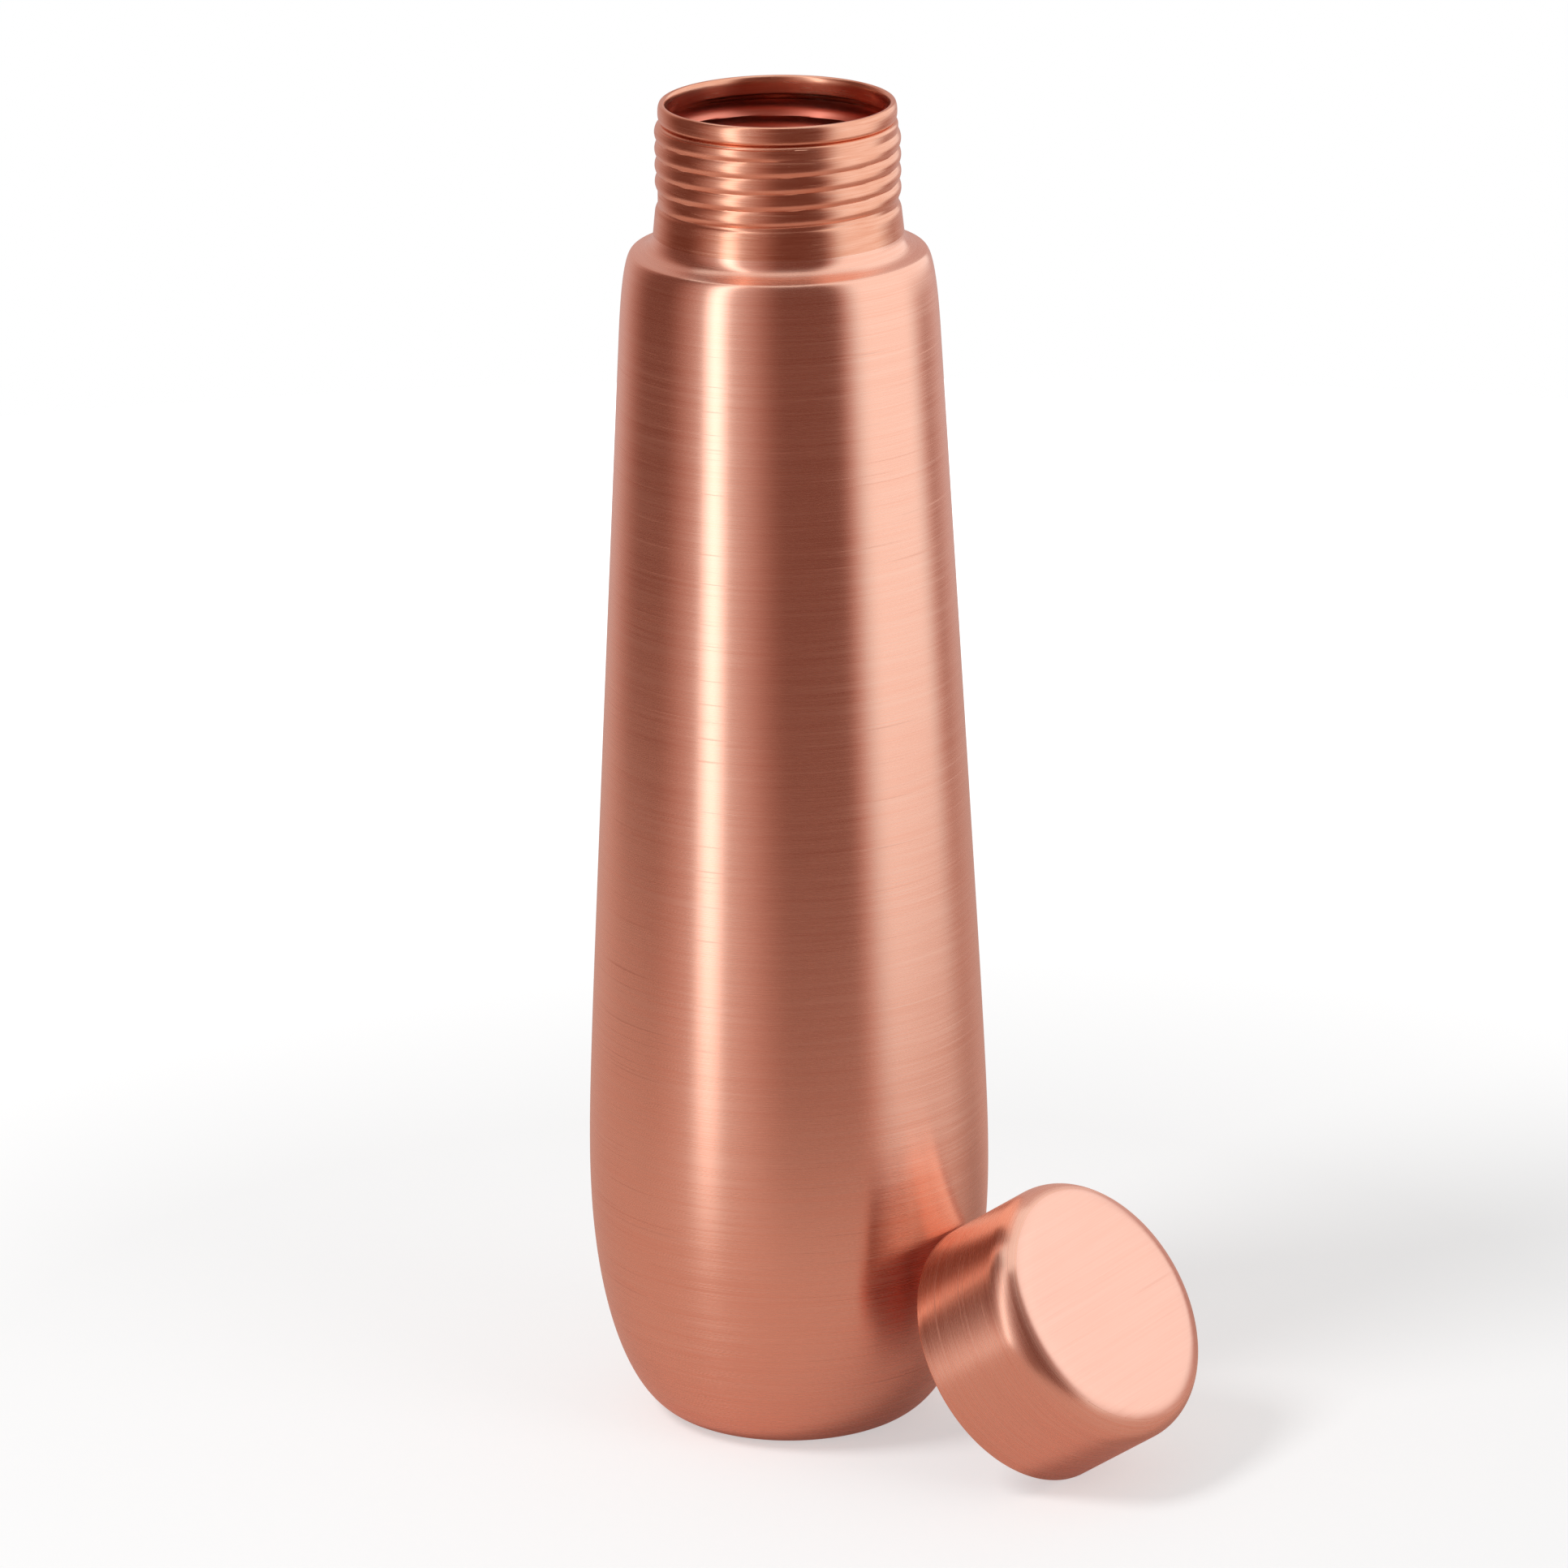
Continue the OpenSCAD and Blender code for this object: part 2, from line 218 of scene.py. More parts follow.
def turn(name, node, body, section, finish, second=None, segments=192, thread=noThread,
         threaded=None, secondWhere=None, lined=None, place=None):
    # section is a line of (radius, height) in mm, outer side going up, inner side coming down
    points = section + section[:1] if section[0][0] > 0 else section  # from pole to pole it stays open
    mesh = bpy.data.meshes.new(name)
    mesh.from_pydata([(r * mm, 0, z * mm) for r, z in points], [(i, i + 1) for i in range(len(points) - 1)], [])
    along = [0.0]
    for a, b in zip(points, points[1:]):
        along.append(along[-1] + math.dist(a, b) * mm)
    marks = {"along": along,
             "threaded": [threaded(*p) if threaded else 0.0 for p in points],
             "second": [secondWhere(*p) if secondWhere else 0.0 for p in points],
             "lined": [lined(*p) if lined else 0.0 for p in points]}
    for mark, values in marks.items():
        mesh.attributes.new(mark, "FLOAT", "POINT").data.foreach_set("value", values)
    holder = bpy.data.objects.new(name + "_section", mesh)
    bpy.context.collection.objects.link(holder)
    modifier = holder.modifiers.new("turning", "NODES")
    modifier.node_group = turning
    wanted = {"Thread Pitch": thread["pitch"] * mm, "Thread Height": thread["height"] * mm,
              "Thread Low": thread["low"] * mm, "Thread Turns": thread["turns"], "Thread Start": thread["start"] / 360,
              "Thread Fade": thread["fade"], "Crest Fullness": crestFullness, "Segments": segments,
              "Finish": finish, "Second Finish": second or finish}
    for item in turning.interface.items_tree:
        if item.in_out == "INPUT" and item.name in wanted:
            modifier[item.identifier] = wanted[item.name]
    depsgraph = bpy.context.evaluated_depsgraph_get()
    made = bpy.data.meshes.new_from_object(holder.evaluated_get(depsgraph), preserve_all_data_layers=True,
                                           depsgraph=depsgraph)
    bpy.data.objects.remove(holder)
    made.name = name
    for i in reversed(range(len(made.materials))):  # the grid starts with an empty material place
        if made.materials[i] is None:
            made.materials.pop(index=i)
    if place:
        made.transform(place)
    piece = bpy.data.objects.new(name, made)
    bpy.context.collection.objects.link(piece)
    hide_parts(node)
    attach(piece, body)
    print("turned", name, len(made.polygons), "faces", [m.name for m in made.materials])
    return piece


# finishes

def newMaterial(name):
    material = bpy.data.materials.new(name)
    material.use_nodes = True
    tree = material.node_tree
    tree.nodes.clear()
    shader = addNode(tree, "ShaderNodeBsdfPrincipled")
    addNode(tree, "ShaderNodeOutputMaterial", {"Surface": shader.outputs[0]})
    return material, tree, shader


def brushedCopper(name, look):
    # spun copper, dressed with a fine belt: hair-thin lines that stretch every highlight across themselves
    material, tree, shader = newMaterial(name)
    own = addNode(tree, "ShaderNodeAttribute", out="Vector", attribute_name="own")

    def lines(width, detail):  # noise drawn out along the grain, one line about width mm across
        size = [look["lineLength"] * mm] * 3
        size[look["across"]] = width * mm
        spot = addNode(tree, "ShaderNodeMapping", {"Vector": own, "Scale": size,
                                                   "Rotation": (0, 0, math.radians(look["grainTurn"]))},
                       0, vector_type="TEXTURE")
        return addNode(tree, "ShaderNodeTexNoise",
                       {"Vector": spot, "Scale": 1.0, "Detail": detail, "Roughness": 0.6}, 0)

    fine = lines(look["lineWidth"], 3.0)
    broad = lines(look["lineWidth"] * 7, 2.0)
    patches = addNode(tree, "ShaderNodeTexNoise",
                      {"Vector": own, "Scale": 1 / (look["patch"] * mm), "Detail": 3.0}, 0)
    tone = addNode(tree, maths, [fine, 0.55], 0, operation="MULTIPLY")
    tone = addNode(tree, maths, [patches, 0.2, tone], 0, operation="MULTIPLY_ADD")
    tone = addNode(tree, maths, [broad, 0.25, tone], 0, operation="MULTIPLY_ADD")

    paleness = addNode(tree, remap, {"Value": tone, "From Min": 0.32, "From Max": 0.68}, 0)
    colour = addNode(tree, mixer, {0: paleness, 6: linear(look["deep"]), 7: linear(look["pale"])}, 2,
                     data_type="RGBA")
    scratches = addNode(tree, remap, {"Value": lines(look["lineWidth"] * 1.6, 0.0), "From Min": 0.72,
                                      "From Max": 0.8}, 0)
    rough = addNode(tree, remap, {"Value": tone, "From Min": 0.3, "From Max": 0.7, "To Min": look["rough"][0],
                                  "To Max": look["rough"][1]}, 0)
    rough = addNode(tree, maths, [scratches, 0.12, rough], 0, operation="MULTIPLY_ADD")
    relief = addNode(tree, maths, [broad, 0.8, fine], 0, operation="MULTIPLY_ADD")
    bump = addNode(tree, "ShaderNodeBump", {"Height": relief, "Strength": look["bump"],
                                            "Distance": look["lineDepth"] * mm}, 0)
    tangent = addNode(tree, "ShaderNodeTangent", out=0, direction_type="UV_MAP", uv_map="wrap")
    for socket, value in {"Base Color": colour, "Roughness": rough, "Normal": bump, "Tangent": tangent}.items():
        tree.links.new(value, shader.inputs[socket])
    shader.inputs["Metallic"].default_value = 1.0
    shader.inputs["Anisotropic"].default_value = look["stretch"]
    shader.inputs["Anisotropic Rotation"].default_value = look["stretchTurn"]
    return material


# lines are drawn two to four times as wide as real belt marks, which are about 0.1 mm, so that they are seen
# the body's skin: pale pink copper with rings of hair-thin lines, its highlights stretched tall
copperBody = brushedCopper("copper brushed round the body", {
    "pale": "#fbcbb6", "deep": "#f1b49d", "lineLength": 34, "lineWidth": 0.2, "patch": 30, "across": 2,
    "grainTurn": 0, "rough": (0.22, 0.32), "bump": 0.4, "lineDepth": 0.004, "stretch": 0.85, "stretchTurn": 0.25})
# the neck: browner, tighter shine that shows each ridge of the thread
copperNeck = brushedCopper("copper rolled and lightly brushed", {
    "pale": "#f4bda4", "deep": "#dd9678", "lineLength": 9, "lineWidth": 0.25, "patch": 7, "across": 2,
    "grainTurn": 0, "rough": (0.2, 0.3), "bump": 0.6, "lineDepth": 0.006, "stretch": 0.35, "stretchTurn": 0.25})
# never polished, so duller, for the insides and the seam of the base; its redder, brighter colour is painted bounce
# light, standing in for the light thrown to and fro between the copper walls
rawCopperPaintedBounce = brushedCopper("raw copper inside with painted red bounce", {
    "pale": "#fba28d", "deep": "#ee8c77", "lineLength": 12, "lineWidth": 0.5, "patch": 9, "across": 2,
    "grainTurn": 0, "rough": (0.3, 0.42), "bump": 0.4, "lineDepth": 0.008, "stretch": 0.3, "stretchTurn": 0.25})
# the cap's top: palest, its lines straight across
copperFace = brushedCopper("copper brushed straight across the cap", {
    "pale": "#fccbb9", "deep": "#f7bfab", "lineLength": 30, "lineWidth": 0.22, "patch": 16, "across": 1,
    "grainTurn": 92, "rough": (0.26, 0.36), "bump": 0.5, "lineDepth": 0.006, "stretch": 0.7, "stretchTurn": 0.506})


def siliconeFinish():
    # moulded food-grade silicone: milky, soft-edged shine
    material, tree, shader = newMaterial("silicone moulded milky")
    own = addNode(tree, "ShaderNodeAttribute", out="Vector", attribute_name="own")
    grain = addNode(tree, "ShaderNodeTexNoise", {"Vector": own, "Scale": 1 / (0.6 * mm), "Detail": 2.0}, 0)
    cloud = addNode(tree, "ShaderNodeTexNoise", {"Vector": own, "Scale": 1 / (8 * mm), "Detail": 2.0}, 0)
    colour = addNode(tree, mixer, {0: cloud, 6: linear("#d8d4cb"), 7: linear("#e9e6df")}, 2, data_type="RGBA")
    rough = addNode(tree, remap, {"Value": grain, "To Min": 0.38, "To Max": 0.55}, 0)
    bump = addNode(tree, "ShaderNodeBump", {"Height": grain, "Strength": 0.2, "Distance": 0.02 * mm}, 0)
    for socket, value in {"Base Color": colour, "Roughness": rough, "Normal": bump}.items():
        tree.links.new(value, shader.inputs[socket])
    shader.inputs["Subsurface Weight"].default_value = 0.2
    shader.inputs["Subsurface Radius"].default_value = (1.0, 0.9, 0.8)
    shader.inputs["Subsurface Scale"].default_value = 1.5 * mm
    return material


silicone = siliconeFinish()

# body: foot, belly, long taper and shoulder, one spun wall

bodySize = {"bellyRadius": bellyRadius, "bellyHeight": 50, "shoulderRadius": 28.6, "shoulderHeight": 224,
            "shoulderSlope": 18.5, "sideBlend": 14.7, "shoulderBlend": 0.33, "footRadius": 20, "footFlat": 3,
            "footPower": 2.15, "bellyTurn": 14, "wall": 0.9}
neckSize = {"mouth": 20.3, "lipWidth": 1.45, "lipHeight": 3.5, "crease": 0.45, "height": 26.4, "wall": 0.8,
            "rootStep": 0.15, "threadHeight": 0.5, "pitch": 3.05, "ridgeShare": 0.82, "start": 175, "collar": 6.9,
            "flare": 0.7, "rest": 0.1, "skirt": 3, "braze": 2.2}

lipRadius = neckSize["mouth"] + neckSize["lipWidth"]
rootRadius = lipRadius + neckSize["rootStep"]
crestRadius = rootRadius + neckSize["threadHeight"]
collarRadius = crestRadius + neckSize["flare"]
seatGap = 0.02


def shoulderAt(radius):
    slope = math.tan(math.radians(bodySize["shoulderSlope"]))
    return radius, bodySize["shoulderHeight"] + (bodySize["shoulderRadius"] - radius) * slope


def sideRadius(z):
    b = bodySize
    soft, rise = b["bellyTurn"], b["shoulderHeight"] - b["bellyHeight"]
    fall = (b["bellyRadius"] - b["shoulderRadius"]) / (math.hypot(rise, soft) - soft)
    return b["bellyRadius"] - fall * (math.hypot(z - b["bellyHeight"], soft) - soft)


def footSideRadius(z):
    b = bodySize
    full = 1 - (1 - z / b["bellyHeight"]) ** b["footPower"]
    return b["footRadius"] + (b["bellyRadius"] - b["footRadius"]) * full ** (1 / b["footPower"])


def bodyLine():
    b = bodySize
    blendZ = b["shoulderHeight"] - b["sideBlend"]
    foot = [b["bellyHeight"] * (1 - math.cos(math.radians(90 * i / 44))) for i in range(45)]
    side = [b["bellyHeight"] + (blendZ - b["bellyHeight"]) * i / 50 for i in range(1, 50)]
    blendRadius = b["shoulderRadius"] - b["shoulderBlend"] * (b["shoulderRadius"] - collarRadius)
    return ([(b["footRadius"] - b["footFlat"], 0)] + [(footSideRadius(z), z) for z in foot]
            + [(sideRadius(z), z) for z in side]
            + bend((sideRadius(blendZ), blendZ), shoulderAt(b["shoulderRadius"]), shoulderAt(blendRadius), 28))


outerLine = bodyLine()
innerLine = beside(outerLine, bodySize["wall"])
holeTop = shoulderAt(collarRadius + seatGap)
holeBottom = (holeTop[0], holeTop[1] - bodySize["wall"] / math.cos(math.radians(bodySize["shoulderSlope"])))
innerSet = set(innerLine)
turn("body_wall", "body_shell", "bottle",
     outerLine + refine([outerLine[-1], holeTop], 0.7)[1:] + [holeBottom] + innerLine[::-1],
     copperBody, second=rawCopperPaintedBounce, segments=256, secondWhere=lambda r, z: 1.0 if (r, z) in innerSet else 0.0)

# base: a thin disc on the turned-in foot, its middle pressed up, sealed with braze

discSize = {"thick": 0.9, "rise": 2.2, "slope": 4, "gap": 0.3}
discRadius = bodySize["footRadius"] - discSize["gap"]
flatRadius = bodySize["footRadius"] - bodySize["footFlat"] - 0.5
topRadius = flatRadius - discSize["slope"]
midPoint = ((flatRadius + topRadius) / 2, bodySize["wall"] + discSize["rise"] / 2)
discTop = bodySize["wall"] + discSize["rise"]
discLine = ([(0.0, discTop), (4, discTop), (8, discTop)]
            + bend((topRadius, discTop), (midPoint[0], discTop), midPoint, 8)
            + bend(midPoint, (midPoint[0], bodySize["wall"]), (flatRadius, bodySize["wall"]), 8)[1:]
            + [(discRadius, bodySize["wall"])])
turn("base_plate", "base_disc", "bottle", discLine + beside(discLine, discSize["thick"])[::-1],
     copperNeck, second=rawCopperPaintedBounce, segments=128)

brazeHeight = 1.757
brazeLine = [p for p in innerLine if p[1] < brazeHeight and p[0] > discRadius]
turn("base_seam", "base_braze", "bottle",
     [(discRadius, bodySize["wall"])] + brazeLine + [(discRadius, brazeLine[-1][1])], rawCopperPaintedBounce, segments=128)

# neck: collar, rolled thread, crease and rolled lip

neckZ = shoulderAt(collarRadius)[1]
collarZ = neckZ + neckSize["collar"]
lipZ = min(neckZ + neckSize["height"], neckTop.z / mm) - tuck
creaseZ = lipZ - neckSize["lipHeight"]
ridgeWidth = neckSize["ridgeShare"] * neckSize["pitch"]
threadLow = collarZ + neckSize["threadHeight"] + neckSize["rest"] + ridgeWidth / 2
threadHigh = creaseZ - neckSize["crease"] - neckSize["rest"] - ridgeWidth / 2
thread = {"pitch": neckSize["pitch"], "height": neckSize["threadHeight"], "low": threadLow,
          "turns": (threadHigh - threadLow) / neckSize["pitch"] + 0.3, "start": neckSize["start"], "fade": 0.16}


def neckSection():
    n = neckSize
    half, groove = n["lipWidth"] / 2, n["crease"] + 0.2
    outside = ([(collarRadius, neckZ - n["skirt"]), (collarRadius, neckZ)]
               + bend((crestRadius + 0.09, collarZ - 1.0), (crestRadius, collarZ),
                      (rootRadius + 0.2, collarZ + 0.35), 6)
               + bend((rootRadius + 0.2, collarZ + 0.35), (rootRadius, collarZ + 0.5),
                      (rootRadius, collarZ + 1.0), 4)[1:]
               + [(rootRadius, creaseZ - n["crease"] - 0.3)]
               + bend((rootRadius, creaseZ - n["crease"] - 0.3), (rootRadius, creaseZ - 0.2),
                      (lipRadius - groove, creaseZ), 6)[1:]
               + bend((lipRadius - groove, creaseZ), (lipRadius, creaseZ + 0.1), (lipRadius, creaseZ + 1.6), 10)[1:]
               + bend((lipRadius, creaseZ + 1.6), (lipRadius, lipZ), (n["mouth"] + half, lipZ), 12)[1:]
               + bend((n["mouth"] + half, lipZ), (n["mouth"], lipZ), (n["mouth"], lipZ - 1.6), 12)[1:])
    inner = rootRadius - n["wall"]
    inside = ([(n["mouth"], creaseZ + 0.3)]
              + bend((n["mouth"], creaseZ + 0.3), (n["mouth"], creaseZ), (n["mouth"] + 0.35, creaseZ - 0.35), 5)[1:]
              + bend((n["mouth"] + 0.35, creaseZ - 0.35), (inner, creaseZ - n["wall"]), (inner, creaseZ - 1.6), 5)[1:]
              + [(inner, collarZ), (collarRadius - n["wall"], neckZ), (collarRadius - n["wall"], neckZ - n["skirt"])])
    return refine(outside, 0.16) + refine(inside, 0.2)


def threadedWall(r, z):  # the thread is rolled through the wall, so it shows inside as well
    low, high = collarZ + 0.6, creaseZ - 0.6
    return 1.0 if low < z < high and r < rootRadius + 0.02 else 0.0


turn("neck_tube", "neck", "bottle", neckSection(), copperNeck, second=rawCopperPaintedBounce, segments=192,
     thread=thread, threaded=threadedWall,
     secondWhere=lambda r, z: 1.0 if r < rootRadius - 0.3 and z < creaseZ - 0.9 else 0.0)

braze = neckSize["braze"]
brazeTop = (collarRadius - neckSize["flare"] * braze / neckSize["collar"], neckZ + braze)
turn("neck_seam", "neck_braze", "bottle",
     [shoulderAt(collarRadius)] + bend(shoulderAt(collarRadius + braze), shoulderAt(collarRadius), brazeTop, 16),
     copperBody, segments=256)

# cap: shell, threaded liner and gasket, all leaning as the turning joint says

capSize = {"stand": 6.2, "edge": 5.5, "wall": 0.8, "sideHollow": 1.5, "topHollow": 1.8, "liner": 0.6,
           "inset": 0.6, "gasket": 1.5, "gasketWidth": 3.4, "threadGap": 0.2, "gasketGap": 0.1, "dish": 0.12}
capTurn = joints["cap_turn"]
capAxis = Vector(capTurn["axis"]).normalized()
tilt = math.pi / 2 - math.asin(capAxis.z)
heading = math.atan2(capAxis.y, capAxis.x)
capPlace = (Matrix.Translation(Vector(capTurn["pos_m"])) @ Matrix.Rotation(heading, 4, "Z")
            @ Matrix.Rotation(tilt, 4, "Y"))

linerDepth = neckSize["height"] - capSize["stand"] + capSize["gasket"] + 2 * capSize["gasketGap"]
linerMouth = neckSize["collar"] - capSize["stand"] + 1
linerRadius = crestRadius + capSize["threadGap"] + capSize["liner"]
capInner = linerRadius + capSize["sideHollow"]
capRadius = capInner + capSize["wall"]
capHeight = linerDepth + capSize["liner"] + capSize["topHollow"] + capSize["wall"]


def capSection():  # from the middle of the inside, round the rim, to the middle of the top
    c = capSize
    rim = c["wall"] / 2
    outer, top = capRadius - tuck, capHeight - tuck
    edgeRadius, edgeZ = outer - c["edge"], top - c["edge"]
    face = [(edgeRadius * (1 - i / 10), top - c["dish"] * math.sin(math.pi / 2 * i / 10) ** 2)
            for i in range(1, 11)]
    line = (arc((edgeRadius, edgeZ), c["edge"] - c["wall"], 90, 0, 10)
            + arc((outer - rim, rim + tuck), rim, -180, 0, 12) + arc((edgeRadius, edgeZ), c["edge"], 0, 90, 24))
    return [(0.0, top - c["wall"] - c["dish"])] + refine(line, 1.2) + face


faceRadius = capRadius - 0.45 * capSize["edge"]
turn("cap_dome", "cap_shell", "cap", capSection(), copperBody, second=copperFace, segments=192,
     secondWhere=lambda r, z: 1.0 if r < faceRadius and z > capHeight - 2 else 0.0,
     lined=lambda r, z: 1.0 if r < faceRadius and z > capHeight - 2 else 0.0, place=capPlace)


def linerSection():
    c = capSize
    mouth, bore = collarRadius + c["threadGap"], rootRadius + c["threadGap"]
    flangeTop, step = c["inset"] + c["liner"], linerMouth + c["liner"]
    inside = [(bore, linerDepth), (bore, linerMouth + c["threadGap"]), (mouth, linerMouth),
              (mouth, c["inset"] + 0.1)]
    outside = [(mouth + 0.1, c["inset"]), (capInner - seatGap, c["inset"]), (capInner - seatGap, flangeTop),
               (mouth + c["liner"], flangeTop), (mouth + c["liner"], step), (linerRadius, step + c["liner"]),
               (linerRadius, linerDepth + c["liner"]), (0.0, linerDepth + c["liner"])]
    return [(0.0, linerDepth)] + refine(inside, 0.2) + outside


bore = rootRadius + capSize["threadGap"]
linerThread = {"pitch": neckSize["pitch"], "height": neckSize["threadHeight"], "low": linerMouth - ridgeWidth / 2,
               "turns": (linerDepth - capSize["gasket"] - linerMouth) / neckSize["pitch"], "start": 5, "fade": 0.16}
turn("cap_thread", "cap_liner", "cap", linerSection(), rawCopperPaintedBounce, segments=192, thread=linerThread,
     threaded=lambda r, z: 1.0 if abs(r - bore) < 0.01 and linerMouth + 0.3 < z < linerDepth - 1 else 0.0,
     place=capPlace)

gasketTop = linerDepth - capSize["gasketGap"]
gasketBottom = gasketTop - capSize["gasket"]
gasketRadius = bore - capSize["gasketGap"]
gasketHole = gasketRadius - capSize["gasketWidth"]
soft = 0.3  # rounding of the gasket's edges
gasketSection = (arc((gasketHole + soft, gasketBottom + soft), soft, 180, 270, 4)
                 + arc((gasketRadius - soft, gasketBottom + soft), soft, 270, 360, 4)
                 + arc((gasketRadius - soft, gasketTop - soft), soft, 0, 90, 4)
                 + arc((gasketHole + soft, gasketTop - soft), soft, 90, 180, 4))
turn("cap_seal", "cap_gasket", "gasket", gasketSection, silicone, segments=128, place=capPlace)


# stage: a white table that keeps the soft shadows
studio = {"floorRadius": 0.75, "wallRadius": 0.45, "wallBack": 0.15, "wallHeight": 0.9}


def plainObject(name, vertices, faces, material):
    mesh = bpy.data.meshes.new(name)
    mesh.from_pydata(vertices, [], faces)
    mesh.materials.append(material)
    item = bpy.data.objects.new(name, mesh)
    bpy.context.collection.objects.link(item)
    return item


def floorFinish():
    material = bpy.data.materials.new("white table paper")
    material.use_nodes = True
    tree = material.node_tree
    tree.nodes.clear()
    path = addNode(tree, "ShaderNodeLightPath").outputs
    # painted bounce: the metal sees the paper warm, tinted copper-pink in its reflections only, standing in for the
    # light that copper standing on white throws onto it
    paintedBounceTint = addNode(tree, mixer, {0: path["Is Glossy Ray"], 6: linear("#d2d2d2"), 7: linear("#e2b4a4")}, 2,
                   data_type="RGBA")
    paper = addNode(tree, "ShaderNodeBsdfDiffuse", {"Color": paintedBounceTint}, 0)
    # the paper is lifted to white for the camera, fully at its edge and less in the object's shadow
    shine = addNode(tree, maths, [path["Is Glossy Ray"], 0.15], 0, operation="MULTIPLY")
    seen = addNode(tree, maths, [path["Is Camera Ray"], shine], 0, operation="MAXIMUM")
    spot = addNode(tree, "ShaderNodeTexCoord", out="Object")
    away = addNode(tree, "ShaderNodeVectorMath", [spot], "Value", operation="LENGTH")
    level = addNode(tree, remap, {"Value": away, "From Min": 0.16, "From Max": 0.62, "To Min": 0.5, "To Max": 1.0}, 0)
    level = addNode(tree, maths, [seen, level], 0, operation="MULTIPLY")
    lift = addNode(tree, "ShaderNodeEmission", {"Color": (1, 1, 1, 1), "Strength": level}, 0)
    both = addNode(tree, "ShaderNodeAddShader", [paper, lift], 0)
    addNode(tree, "ShaderNodeOutputMaterial", {"Surface": both})
    return material


rim = [(studio["floorRadius"] * math.cos(math.radians(a)), studio["floorRadius"] * math.sin(math.radians(a)), 0)
       for a in range(0, 360, 3)]
floor = plainObject("table", rim, [tuple(range(len(rim)))], floorFinish())

# soft panels stand in a ring round the object, seen only in its shine: each is centred some degrees from the
# front, to the right, is even for some degrees to either side, and then fades out
panels = {"stripLight": {"at": -45, "even": 0, "fade": 12, "level": 1.65},
          "stripGlow": {"at": -42, "even": 0, "fade": 46, "level": 0.56},
          "softBox": {"at": 82, "even": 17, "fade": 28, "level": 1.0},
          "backdrop": {"at": 180, "even": 30, "fade": 45, "level": 0.42}}
roomLevel = 0.14  # the dim room between the panels
roomPaintedBounce = (1.3, 0.55, 0.42, 1)  # painted bounce: the dim room is tinted copper-red, as if the copper lit its own dark sides


def panelFinish():
    material = bpy.data.materials.new("studio panels")
    material.use_nodes = True
    tree = material.node_tree
    tree.nodes.clear()
    place = addNode(tree, "ShaderNodeSeparateXYZ", [addNode(tree, "ShaderNodeTexCoord", out="Object")]).outputs
    front = addNode(tree, maths, [place["Y"], -1.0], 0, operation="MULTIPLY")
    angle = addNode(tree, maths, [place["X"], front], 0, operation="ARCTAN2")
    angle = addNode(tree, maths, [angle], 0, operation="DEGREES")
    level = roomLevel
    for panel in panels.values():
        away = addNode(tree, maths, [angle, panel["at"]], 0, operation="SUBTRACT")
        away = addNode(tree, maths, [away, 180.0, -180.0], 0, operation="WRAP")
        away = addNode(tree, maths, [away], 0, operation="ABSOLUTE")
        end = panel["even"] + panel["fade"]
        glow = addNode(tree, remap, {"Value": away, "From Min": panel["even"], "From Max": end,
                                     "To Min": panel["level"], "To Max": 0.0}, 0, interpolation_type="SMOOTHSTEP")
        level = addNode(tree, maths, [glow, level], 0, operation="ADD")
    # the panels on the right are white above the bottle's own reflections, which lights the cap's face
    high = addNode(tree, remap, {"Value": place["Z"], "From Min": 0.13, "From Max": 0.2, "To Max": 1.12}, 0)
    right = addNode(tree, remap, {"Value": place["X"], "From Min": 0.2, "From Max": 0.3}, 0)
    upper = addNode(tree, maths, [high, right], 0, operation="MULTIPLY")
    level = addNode(tree, maths, [level, upper], 0, operation="MAXIMUM")
    white = addNode(tree, remap, {"Value": level, "From Min": 0.12, "From Max": 0.85}, 0)
    # the dim parts of the panels take the painted copper-red bounce, the bright parts turn white
    colour = addNode(tree, mixer, {0: white, 6: roomPaintedBounce, 7: (1, 1, 1, 1)}, 2, data_type="RGBA")
    glow = addNode(tree, "ShaderNodeEmission", {"Color": colour, "Strength": level}, 0)
    addNode(tree, "ShaderNodeOutputMaterial", {"Surface": glow})
    return material


ring = [(studio["wallRadius"] * math.cos(math.radians(a)),
         studio["wallBack"] + studio["wallRadius"] * math.sin(math.radians(a))) for a in range(0, 360, 3)]
wallPoints = [(x, y, z) for z in (0.001, studio["wallHeight"]) for x, y in ring]
wallFaces = [(i, (i + 1) % len(ring), (i + 1) % len(ring) + len(ring), i + len(ring)) for i in range(len(ring))]
wall = plainObject("panels", wallPoints, wallFaces, panelFinish())
wall.visible_camera = wall.visible_diffuse = wall.visible_shadow = wall.visible_transmission = False

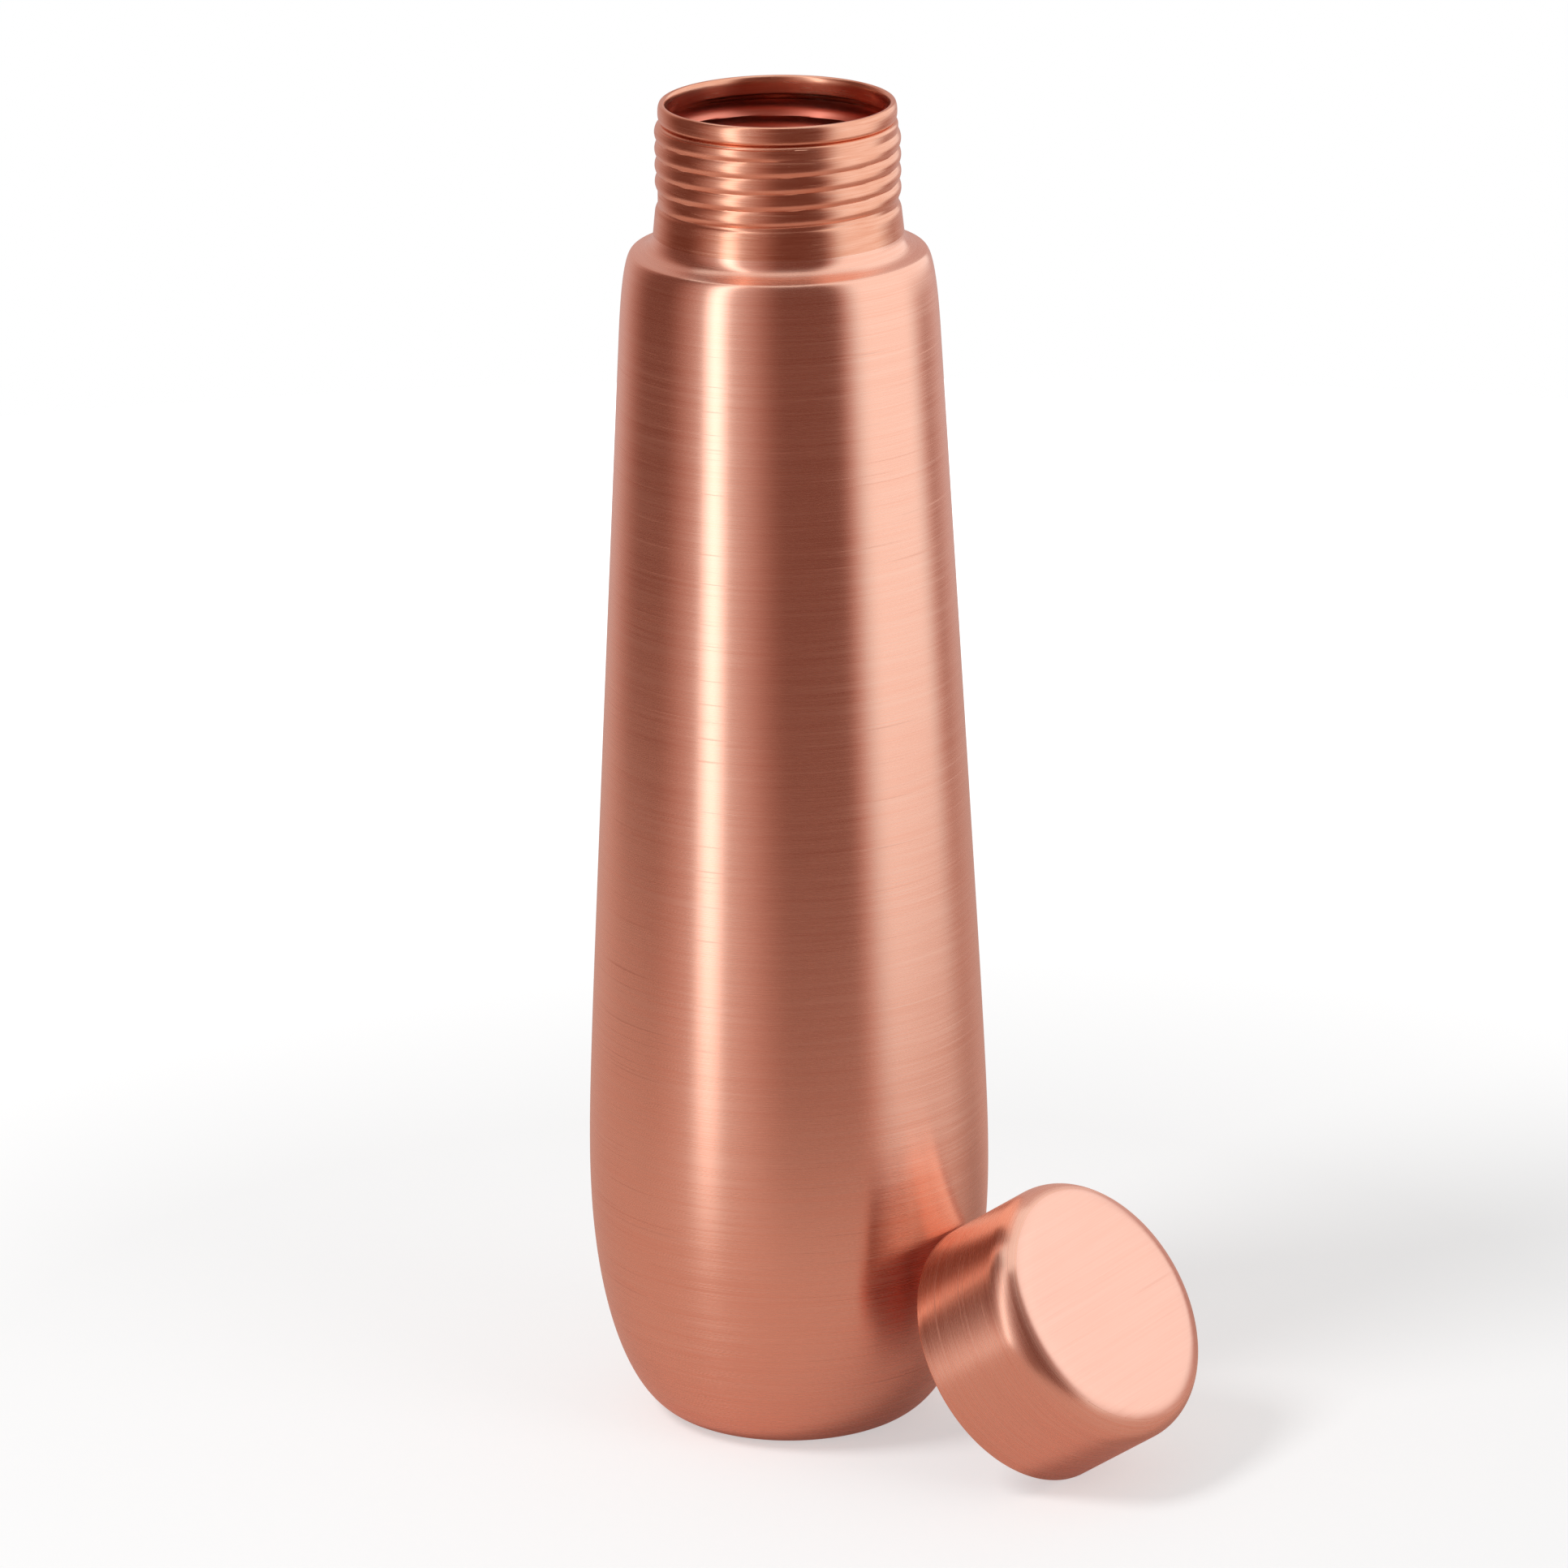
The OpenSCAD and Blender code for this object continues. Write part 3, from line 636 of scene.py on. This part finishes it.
world = bpy.data.worlds.new("studio")
world.use_nodes = True
bpy.context.scene.world = world
sky = world.node_tree
sky.nodes.clear()
skyPath = addNode(sky, "ShaderNodeLightPath").outputs
direct = addNode(sky, maths, [skyPath["Is Camera Ray"], skyPath["Is Glossy Ray"]], 0, operation="MAXIMUM")
direct = addNode(sky, maths, [direct, skyPath["Is Transmission Ray"]], 0, operation="MAXIMUM")
skyLevel = addNode(sky, remap, {"Value": direct, "To Min": 0.35, "To Max": 1.0}, 0)
skyGlow = addNode(sky, "ShaderNodeBackground", {"Color": (1, 1, 1, 1), "Strength": skyLevel}, 0)
addNode(sky, "ShaderNodeOutputWorld", {"Surface": skyGlow})

# lamps: a big soft key high on the left, in front, and a weak fill from the right
lamps = {"key": {"from": (-0.75, -0.45, 1.15), "watts": 7.5, "size": 0.45},
         "fill": {"from": (0.9, -0.7, 0.8), "watts": 2.0, "size": 0.8}}
aim = Vector((0.01, 0, 0.08))
for name, lamp in lamps.items():
    light = bpy.data.lights.new(name, "AREA")
    light.energy, light.shape, light.size = lamp["watts"], "DISK", lamp["size"]
    item = bpy.data.objects.new(name, light)
    item.matrix_world = (Matrix.Translation(lamp["from"])
                         @ (aim - Vector(lamp["from"])).to_track_quat("-Z", "Y").to_matrix().to_4x4())
    item.visible_glossy = False
    bpy.context.collection.objects.link(item)

# camera: a long lens, a little above the bottle and turned a touch
shot = {"distance": 1.58037, "elevation": 17.66, "target": (-0.000177, 0, 0.1224), "roll": -0.656, "lens": 195.4}
up = math.radians(shot["elevation"])
eye = Vector(shot["target"]) + shot["distance"] * Vector((0, -math.cos(up), math.sin(up)))
camera = bpy.data.objects.new("camera", bpy.data.cameras.new("camera"))
camera.data.lens, camera.data.sensor_width = shot["lens"], 36
camera.data.clip_start, camera.data.clip_end = 0.05, 20
camera.matrix_world = (Matrix.Translation(eye) @ Matrix.Rotation(math.pi / 2 - up, 4, "X")
                       @ Matrix.Rotation(math.radians(shot["roll"]), 4, "Z"))
bpy.context.collection.objects.link(camera)
bpy.context.scene.camera = camera
bpy.context.scene.view_settings.view_transform = "Standard"
print("stage, lamps and camera set")
